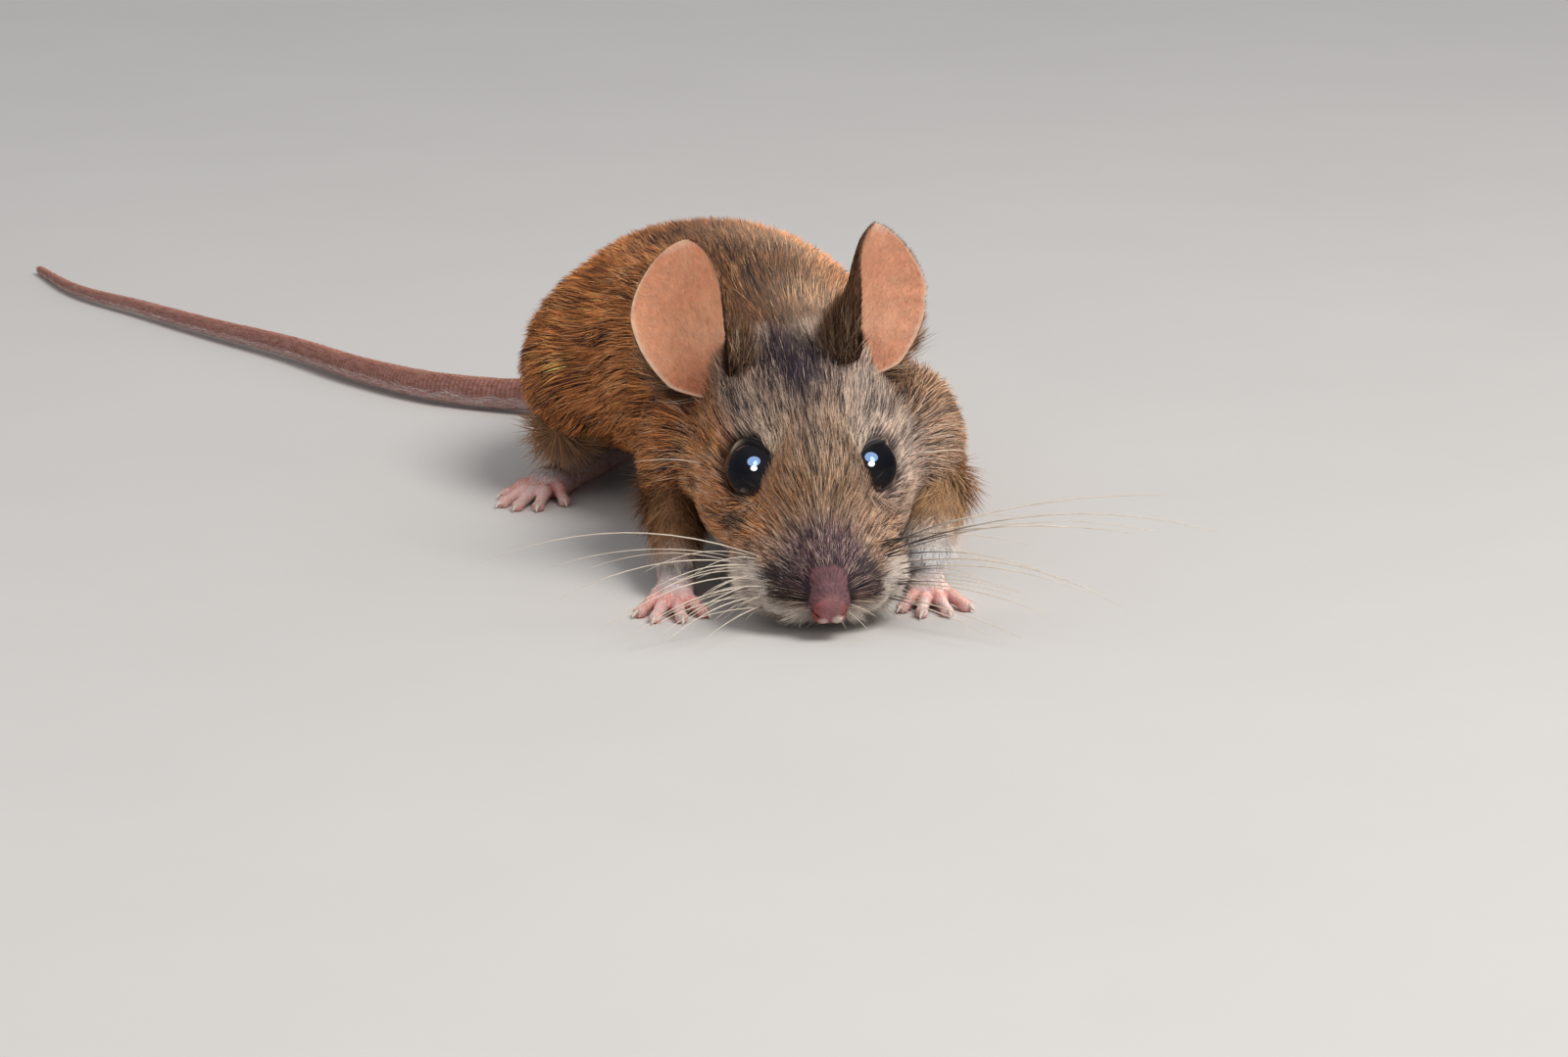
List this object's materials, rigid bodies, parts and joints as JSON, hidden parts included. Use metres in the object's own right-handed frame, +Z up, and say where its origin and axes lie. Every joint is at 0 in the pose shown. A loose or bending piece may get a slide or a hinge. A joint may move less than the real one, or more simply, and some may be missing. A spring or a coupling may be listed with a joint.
{
  "type": "wood mouse",
  "caption": "Life-size wood mouse crouching on all fours, head low, large round ears raised, whiskers spread and the long tail laid out behind it.",
  "frame": {"origin": "middle of the bounding box in X and Y, on the floor under the paws", "axes": "+Z up from the floor, -Y the way the mouse faces, +X the mouse's own left side"},
  "size_m": [0.1052, 0.1406, 0.0274],
  "materials": {
    "coat": "soft agouti fur: buff and orange-brown hairs with dark roots and black tips",
    "belly_fur": "short soft off-white fur",
    "bare_skin": "pink skin of the paws with fine folds and sparse white hairs",
    "ear_skin": "thin warm pink-orange skin, thinly haired",
    "eye": "wet glossy black",
    "tail_skin": "dusky pink skin with fine scale rings",
    "whisker": "fine stiff hairs, dark at the root and pale at the tip",
    "nose_skin": "moist mauve-pink skin with a fine grain"
  },
  "bodies": {
    "root": {"nose": "nose_skin", "muzzle": "coat", "lower_jaw": "belly_fur", "head": "coat", "neck": "coat", "chest": "coat", "loin": "coat", "rump": "coat", "eye_left": "eye", "eye_right": "eye", "ear_left": "ear_skin", "ear_right": "ear_skin", "whiskers_left": "whisker", "whiskers_right": "whisker", "upper_arm_left": "coat", "upper_arm_right": "coat", "forearm_left": "belly_fur", "forearm_right": "belly_fur", "forefoot_left": "bare_skin", "forefoot_right": "bare_skin", "thigh_left": "coat", "thigh_right": "coat", "shank_left": "belly_fur", "shank_right": "belly_fur", "hindfoot_left": "bare_skin", "hindfoot_right": "bare_skin", "tail_1": "tail_skin", "tail_2": "tail_skin", "tail_3": "tail_skin", "tail_4": "tail_skin"}
  },
  "joints": []
}
